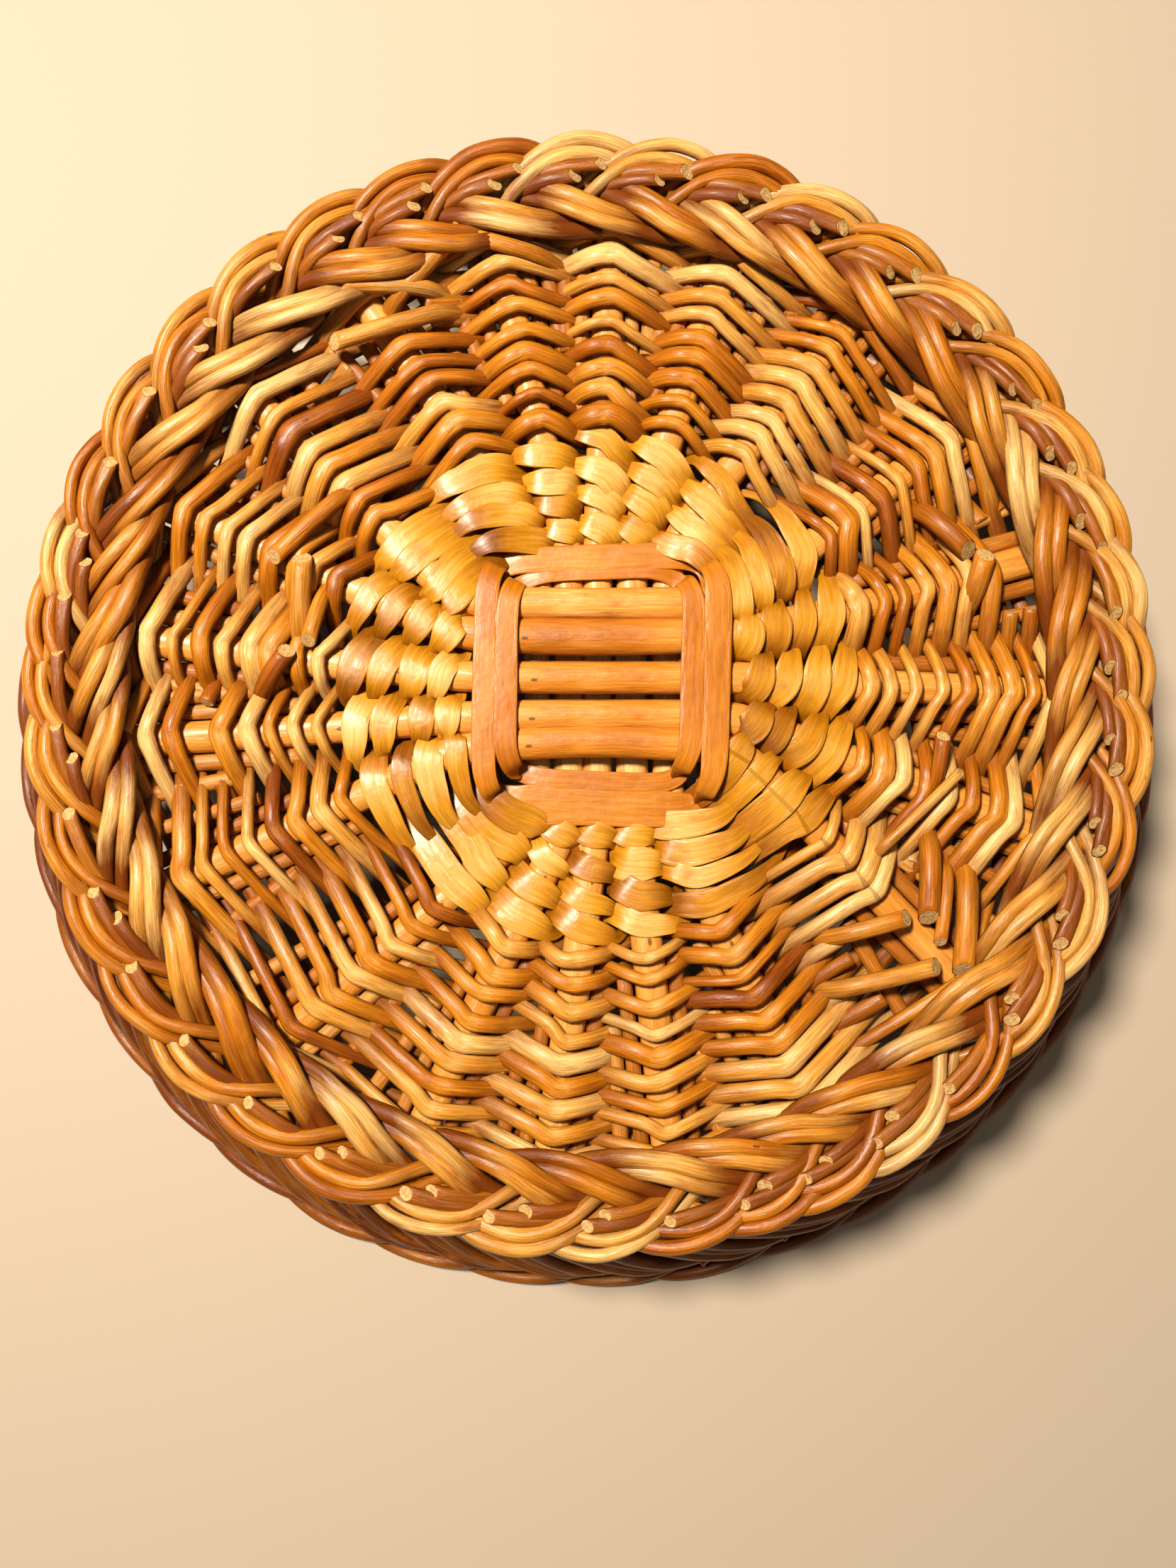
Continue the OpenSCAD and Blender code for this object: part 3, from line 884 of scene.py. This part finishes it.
for i in range(SKEIN_ROUNDS):
    node = f"skein_round_{i + 1}"
    r = SKEIN_R + SKEIN_PITCH * i
    rng = np.random.default_rng(100 + i)
    strands = Strands()
    for phase in (0, 1):
        full, places = pairing(r, phase, SKEIN_T, SKEIN_ARMS, rng, 0.6, CORNER_BULGE[i])
        woven(strands, full, places, 0.9, 2.0, skein_look(phase), rng, 16, square=0.25)
    strands.make(node + "_willow", [node], "skein", MATERIALS["skein"])


# Width and thickness of a weaving rod
WEAVER_W = 3.7
WEAVER_T = 3.0


def rod_look(phase):
    """How a weaving rod looks along its round: the width, thickness, tone and browning."""

    def look(line, place, rng):
        m = len(line)
        tones, away = by_stroke(rng, place, phase, 0.24)
        girths, _ = by_stroke(rng, place, phase, 0.15)
        girth = (1 + 0.06 * drift(rng, m, 9, True)) * (1 + soften(girths, 5, True))
        bend = np.exp(-((away / 0.07) ** 2))
        width = WEAVER_W * girth * (1 + 0.12 * bend)
        thick = WEAVER_T * (0.6 + 0.4 * girth) * (1 - 0.14 * bend)
        # Paler at the bend over each spoke: a painted highlight, and partly the paler stretched wood
        # of the bend
        tone = 0.55 + soften(tones, 4, True) + 0.12 * drift(rng, m, 7, True) + 0.12 * bend
        # Browner towards where the rod passes under the next spokes: painted shade
        brown_and_shade = np.interp(np.abs(away), (0.15, 0.4, 0.75), (0.0, 0.35, 0.9))
        return width, thick, tone, brown_and_shade

    return look


# Spokes over which a round's rod has been cut away at a join, by round
JOINS = {4: (0,), 5: (0, 13), 6: (0, 9), 7: (0, 9, 3), 8: (3,)}

for i in range(ROD_ROUNDS):
    node = f"rod_round_{i + 1}"
    r = WEAVER_R + WEAVER_PITCH * i
    rng = np.random.default_rng(200 + i)
    strands = Strands()
    for phase in (0, 1):
        full, places = pairing(r, phase, WEAVER_T, ROD_ARMS, rng, 0.5)
        gaps = [k for k in JOINS.get(i, ()) if (k + phase) % 2 == 0]
        woven(strands, full, places, 1.0, 1.4, rod_look(phase), rng, 10, gaps)
    strands.make(node + "_willow", [node], "weaver", MATERIALS["weaver"])


# ---------------------------------------------------------------- stakes

# Width and thickness of a stake in the base
STAKE_W = 3.7
STAKE_T = 2.9
# How far off its middle a spoke's inner two and outer two stakes start, and at what radius
INNER_OFF = 5.8
OUTER_OFF = 9.4
INNER_START_R = 64
OUTER_START_R = 78
# Half a spoke's width at the base's edge, with room for a stake beside it
TIP_HALF_W = 3.9
# The share of the way to the next spoke at which an outer stake ends
OUTER_SHARE = 3 / 8


def edge_heading(k):
    """The direction in which spoke k reaches the base's edge."""
    return heading(spoke_at(k, np.zeros(2), STAKE_END_R))


def stake_heading(k, j):
    """Where stake j of spoke k meets the base's edge."""
    here = edge_heading(k)
    after = here + (edge_heading(k + 1) - here) % 360
    before = here - (here - edge_heading(k - 1)) % 360
    beside = math.degrees((STAKE_W / 2 + TIP_HALF_W) / STAKE_END_R)
    return (
        here - (here - before) * OUTER_SHARE,
        here - beside,
        here + beside,
        here + (after - here) * OUTER_SHARE,
    )[j]


def base_stakes(side):
    """The stakes on one side of the base, four beside each spoke."""
    rng = np.random.default_rng(300 + side)
    strands = Strands()
    for k in range(side * STICKS, (side + 1) * STICKS):
        _, u = spoke_line(k)
        across = np.array([-u[1], u[0]])
        for j in range(4):
            inner = j in (1, 2)
            off = (-1 if j < 2 else 1) * (INNER_OFF if inner else OUTER_OFF)
            start_r = (INNER_START_R if inner else OUTER_START_R) + rng.uniform(-3, 3)
            start = on_spoke(k, start_r) + across * off
            finish = polar(STAKE_END_R, stake_heading(k, j))
            z = BASE_Z - 0.4 + rng.uniform(-0.3, 0.3)
            line, _ = curve_through([[*start, z], [*(start + finish) / 2, z], [*finish, z]], 3.0, 2.0)
            m = len(line)
            tone = rng.uniform(0.2, 0.8) + 0.12 * drift(rng, m, 4)
            width = STAKE_W * rng.uniform(0.9, 1.08)
            # Browned by 0.2: painted shade, as the stakes lie under the rods
            strands.add(line, width, STAKE_T, tone, 0.2, 8, square=0.85)
    node = f"base_stakes_{SIDES[side]}"
    strands.make(node + "_willow", [node], "base_stake", MATERIALS["base_stake"])


for side in range(4):
    base_stakes(side)

FIRST_UNIT = edge_heading(0) - STEP
# How far round the basket a wall stake leans on its way down, in degrees
WALL_LEAN = 18.0
# A wall stake's girth, and the degrees between the two of a pair at the rim
WALL_GIRTH = 3.4
WALL_PAIR = 1.5
# The extra rod on each side of a pair: degrees from it at the base and at the rim, mm out from
# the wall's surface, and girth
FRONT_ROD = (-1.9, -1.9, 1.0, 3.1)
BACK_ROD = (4.5, 4.2, -4.2, 2.9)
# A wall rod's run: share of the lean, radius, and height
WALL_RUN = (
    (-0.10, 109.5, 45.2),
    (0.00, 114.5, 44.6),
    (0.08, 119.0, 41.5),
    (0.28, 124.5, 34.0),
    (0.55, 131.5, 24.0),
    (0.82, 138.5, 14.5),
    (1.08, 143.0, 8.6),
    (1.40, 143.0, 5.2),
    (1.85, 139.5, 4.0),
    (2.25, 135.5, 3.6),
)


def wall_rod(strands, start, finish, out, girth, tone, brown_and_shade, rng):
    """A rod down the wall from direction start to finish, moved out from the wall's surface."""
    points = []
    for share, r, z in WALL_RUN:
        a = start + (finish - start) * share
        points.append([*polar(r + out * (0.3 if z > 40 or z < 8 else 1), a), z])
    line, _ = curve_through(points, 2.0, 3.4)
    m = len(line)
    width = girth * np.linspace(1.04, 0.94, m) * (1 + 0.04 * drift(rng, m, 5))
    tones = tone + 0.1 * drift(rng, m, 5)
    shade = brown_and_shade + 0.35 * np.exp(-(((np.arange(m) / m - 0.86) / 0.08) ** 2))
    strands.add(line, width, width, tones, shade, 8)


def wall_stakes(side):
    """The stakes on one side of the wall, in pairs, with an extra rod on each side of each pair."""
    rng = np.random.default_rng(400 + side)
    strands = Strands()
    for k in range(side * STICKS, (side + 1) * STICKS):
        for pair in (0, 1):
            unit = FIRST_UNIT + STEP * (2 * k + pair) + WALL_LEAN + rng.normal(0, 0.4)
            tone = rng.uniform(0.3, 0.7)
            for j in (0, 1):
                start = stake_heading(k, 2 * pair + j)
                start += 360 * round((unit - WALL_LEAN - start) / 360)
                finish = unit + (j - 0.5) * WALL_PAIR + 0.2
                own_tone = tone + rng.normal(0, 0.08)
                wall_rod(strands, start, finish, 0.0, WALL_GIRTH, own_tone, 0.05, rng)
            start = unit - WALL_LEAN + rng.normal(0, 0.6)
            at_base, at_rim, out, girth = FRONT_ROD
            own_tone = tone + rng.normal(0, 0.1)
            wall_rod(strands, start + at_base, unit + at_rim, out, girth, own_tone, 0.0, rng)
            at_base, at_rim, out, girth = BACK_ROD
            wall_rod(strands, start + at_base, unit + at_rim, out, girth, tone - 0.2, 0.2, rng)
    node = f"wall_stakes_{SIDES[side]}"
    strands.make(node + "_willow", [node], "wall_stake", MATERIALS["wall_stake"])


for side in range(4):
    wall_stakes(side)


# ---------------------------------------------------------------- plaited borders

# Each rod of a stroke: degrees from the stroke's start, mm in from the border's outer edge, and
# mm in from its face
OUTER_RODS = (
    (
        (-3.0, 12.0, 7.4), (-0.5, 8.8, 5.0), (2.5, 5.2, 2.7), (5.5, 2.6, 1.9), (8.5, 1.6, 1.8),
        (11.8, 2.2, 2.6), (14.8, 4.4, 5.2), (18.0, 8.0, 7.2),
    ),
    (
        (-4.0, 16.5, 7.6), (-1.8, 15.3, 5.6), (0.2, 12.8, 3.8), (2.2, 9.4, 2.4), (4.8, 6.3, 1.8),
        (7.6, 4.9, 1.8), (10.8, 5.1, 2.7), (14.0, 6.8, 5.3), (17.6, 10.4, 7.3),
    ),
)
INNER_RODS = (
    (
        (-2.0, 9.6, 7.2), (1.4, 12.6, 5.2), (3.4, 14.8, 3.2), (6.0, 17.3, 1.9), (9.0, 20.1, 1.7),
        (12.0, 21.5, 2.0), (15.0, 21.7, 3.4), (18.0, 21.0, 5.6), (21.0, 19.6, 7.0),
    ),
    (
        (-1.4, 6.6, 7.0), (2.2, 9.8, 5.0), (4.2, 12.0, 3.0), (6.6, 14.3, 1.8), (9.0, 16.6, 1.7),
        (11.5, 18.2, 2.3), (14.0, 18.8, 3.9), (17.5, 18.2, 5.8), (21.0, 17.0, 7.2),
    ),
)
CUT_RODS = (
    ((0.0, 10.2, 6.8), (2.2, 9.4, 4.6), (4.4, 8.8, 2.4), (6.8, 8.4, 1.5), (10.6, 8.2, 0.8)),
    ((-0.4, 12.2, 7.0), (1.6, 11.6, 4.6), (3.6, 11.2, 2.4), (5.2, 10.9, 1.6), (7.8, 10.6, 1.0)),
)
# Thickness of the border's rods
OUTER_D = 3.2
INNER_D = 3.5
CUT_D = 3.3


def border_line(rod, unit, edge_r, face_z, down, turn, shift, rng):
    """A rod's centreline in a border whose strokes run round in the direction turn.

    Down is -1 where the border's face is its top, and 1 where it is its underside.
    """
    points = []
    for u, depth, under in rod:
        a = unit + turn * (u + shift)
        r = edge_r - depth + rng.normal(0, 0.18)
        points.append([*polar(r, a), face_z + down * (under + rng.normal(0, 0.1))])
    line, _ = curve_through(points, 1.6, 2.2)
    return line


def browning(t, start, finish):
    """How browned a border rod is along its length: most where it bends, near its two ends."""
    return start * np.exp(-(((t - 0.16) / 0.2) ** 2)) + finish * np.exp(-(((t - 0.84) / 0.2) ** 2))


def border(prefix, edge_r, face_z, down, turn, seed, dark):
    """A three-part plait: outer pairs, inner pairs that lean in, and cut ends between them."""
    # Dark makes every rod darker and browner: painted shade
    rng = np.random.default_rng(seed)
    outer, inner, ends = Strands(), Strands(), Strands()
    places = np.arange(UNITS) * STEP + 0.35 * STEP * drift(rng, UNITS, 9, True)
    for unit in places:
        tone = rng.uniform(0.3, 0.95) - dark
        for rod in OUTER_RODS:
            line = border_line(rod, unit, edge_r, face_z, down, turn, rng.normal(0, 0.25), rng)
            m = len(line)
            girth = OUTER_D * rng.uniform(0.88, 1.1) * (1 + 0.05 * drift(rng, m, 4))
            shade = browning(np.linspace(0, 1, m), 0.5, rng.uniform(0.2, 0.7)) + dark
            tones = tone + rng.normal(0, 0.1) + 0.12 * drift(rng, m, 6)
            outer.add(line, girth, girth, tones, shade, 10)
        tone = rng.uniform(0.35, 1.05) - dark
        heavy = rng.uniform(0.7, 1.5)
        for rod in INNER_RODS:
            line = border_line(rod, unit, edge_r, face_z, down, turn, rng.normal(0, 0.3), rng)
            m = len(line)
            girth = INNER_D * rng.uniform(0.85, 1.12) * (1 + 0.06 * drift(rng, m, 4))
            shade = browning(np.linspace(0, 1, m), heavy, heavy * 0.9) + dark
            tones = tone + rng.normal(0, 0.1) + 0.14 * drift(rng, m, 6)
            inner.add(line, girth * 1.1, girth * 0.92, tones, shade, 10)
        for which, rod in enumerate(CUT_RODS):
            if which == 1 and rng.random() < 0.3:
                continue
            line = border_line(rod, unit, edge_r, face_z, down, turn, rng.uniform(-0.8, 0.5), rng)
            m = len(line)
            girth = CUT_D * rng.uniform(0.85, 1.08)
            shade = np.linspace(1.0, 0.7, m) * rng.uniform(0.6, 1.1) + dark
            ends.add(line, girth, girth, rng.uniform(0.1, 0.5) - dark, shade, 12, slope=0.9)
    outer.make(f"{prefix}_outer_pairs_willow", [f"{prefix}_outer_pairs"], "plait", MATERIALS["plait"])
    inner.make(f"{prefix}_inner_pairs_willow", [f"{prefix}_inner_pairs"], "plait", MATERIALS["plait"])
    ends.make(f"{prefix}_cut_ends_willow", [f"{prefix}_cut_ends"], "cut_end", MATERIALS["cut_end"])


border("foot", FOOT_R, TOP_Z, -1, -1, 500, 0.0)
# The rim is 0.5 darker and browner than the foot: painted shade, for the low rim in the shade of the
# foot
border("rim", RIM_R, 0.0, 1, 1, 600, 0.5)


# ---------------------------------------------------------------- ends of weaving rods

# Placed from the photograph. Each as hidden end x, y, then cut end x, y, thickness and tone
TAILS = (
    (-55.5, 43.4, -70.2, 29.0, 4.0, 0.45),
    (-64.8, 13.4, -64.1, 28.4, 4.8, 0.6),
    (-60.1, 19.9, -62.5, 10.3, 3.6, 0.55),
    (-72.3, 0.9, -67.3, 7.8, 4.2, 0.05),
    (64.1, -36.4, 81.5, -19.1, 2.4, 0.75),
    (75.4, -35.6, 74.3, -50.8, 4.8, 0.4),
    (79.2, -42.2, 76.8, -56.1, 3.0, 0.5),
    (83.7, -43.9, 81.8, -62.2, 5.0, 0.55),
    (55.7, -55.0, 69.3, -51.1, 4.0, 0.6),
    (56.5, -66.6, 75.7, -61.7, 4.2, 0.65),
    (76.8, -20.9, 78.0, -11.1, 3.4, 0.2),
    (-37.4, 90.8, -56.0, 90.5, 4.0, 0.7),
    (-34.2, 85.2, -57.2, 77.4, 4.0, 0.65),
    (-43.6, 89.0, -28.6, 104.0, 4.4, 0.6),
    (-10.7, 98.0, -26.0, 101.4, 3.6, 0.6),
    (76.4, 38.8, 84.0, 30.6, 4.8, 0.25),
    (86.1, 21.9, 87.9, 29.5, 4.8, 0.55),
)

# A loose end rises from this far behind and below its hidden end to lie over the rounds
TAIL_BACK = 5
TAIL_UNDER = 1
TAIL_TOP = STICK_THICK / 2 + WEAVER_T + 0.6
TAIL_RISE = 1.6
TAIL_CURL = 0.3


def loose_ends():
    """The cut ends of weaving rods that lie on the underside."""
    rng = np.random.default_rng(700)
    strands = Strands()
    for x0, y0, x1, y1, girth, tone in TAILS:
        start, finish = np.array([x0, y0]), np.array([x1, y1])
        u = (finish - start) / np.linalg.norm(finish - start)
        top = BASE_Z + TAIL_TOP
        points = [
            [*(start - u * TAIL_BACK), BASE_Z - TAIL_UNDER],
            [*start, top - TAIL_RISE],
            [*(start + finish) / 2, top],
            [*finish, top + TAIL_CURL],
        ]
        line, _ = curve_through(points, 1.4, 1.8)
        m = len(line)
        tones = tone + 0.06 * drift(rng, m, 3)
        strands.add(line, girth, girth * 0.92, tones, np.linspace(0.5, 0.05, m), 12, slope=0.8)
    strands.make("weaver_tails_willow", ["weaver_tails"], "cut_end", MATERIALS["cut_end"])


loose_ends()


# ---------------------------------------------------------------- floor, light, camera


# Half the floor's side, and its colour
FLOOR = 3.0
FLOOR_COLOUR = (0.54, 0.435, 0.33, 1)
# Where the lights aim, and for each its place, its size, its power and its colour
AIM = (0, 0, 0.05)
KEY = ((-0.30, 0.26, 0.85), 0.16, 16.0, (1.0, 0.91, 0.77))
FILL = ((0.5, -0.5, 0.9), 0.8, 0.5, (1.0, 0.93, 0.82))
SKY_COLOUR = (1.0, 0.86, 0.70, 1)
SKY_STRENGTH = 0.08
# The camera looks down on the basket. Its place in metres and its tilt in degrees were fitted to
# the outline of the foot plait in the photograph, with the lens taken as 27 mm
CAMERA_PLACE = (-0.0029, -0.0330, 0.3116)
CAMERA_TILT = (2.52, -0.5)
LENS = 27.05


def floor():
    """A plain pale floor that the basket lies on."""
    mesh = bpy.data.meshes.new("floor")
    s = FLOOR
    mesh.from_pydata([(-s, -s, 0), (s, -s, 0), (s, s, 0), (-s, s, 0)], [], [(0, 1, 2, 3)])
    piece = bpy.data.objects.new("floor", mesh)
    bpy.context.scene.collection.objects.link(piece)
    n = Nodes("pale_floor")
    shader = n.new("ShaderNodeBsdfPrincipled")
    shader.inputs["Base Color"].default_value = FLOOR_COLOUR
    shader.inputs["Roughness"].default_value = 0.7
    out = n.new("ShaderNodeOutputMaterial")
    n.link(shader.outputs[0], out.inputs["Surface"])
    mesh.materials.append(n.material)


def area_light(name, place, size, power, colour):
    """A round soft light."""
    light = bpy.data.lights.new(name, "AREA")
    light.shape = "DISK"
    light.size = size
    light.energy = power
    light.color = colour
    lamp = bpy.data.objects.new(name, light)
    bpy.context.scene.collection.objects.link(lamp)
    lamp.location = place
    lamp.rotation_mode = "QUATERNION"
    lamp.rotation_quaternion = (Vector(AIM) - Vector(place)).to_track_quat("-Z", "Y")


def sky():
    """The dim even light from all round."""
    world = bpy.data.worlds.new("studio")
    bpy.context.scene.world = world
    world.use_nodes = True
    background = world.node_tree.nodes["Background"]
    background.inputs["Color"].default_value = SKY_COLOUR
    background.inputs["Strength"].default_value = SKY_STRENGTH


def view():
    """The camera, at the photograph's viewing angle."""
    camera = bpy.data.cameras.new("camera")
    camera.lens = LENS
    camera.sensor_width = 36
    camera.clip_start = 0.01
    rig = bpy.data.objects.new("camera", camera)
    bpy.context.scene.collection.objects.link(rig)
    rig.location = CAMERA_PLACE
    rig.rotation_euler = (math.radians(CAMERA_TILT[0]), math.radians(CAMERA_TILT[1]), 0)
    bpy.context.scene.camera = rig


floor()
area_light("key", *KEY)
area_light("fill", *FILL)
sky()
view()

bpy.context.scene.view_settings.view_transform = "Standard"
bpy.context.scene.view_settings.look = "None"
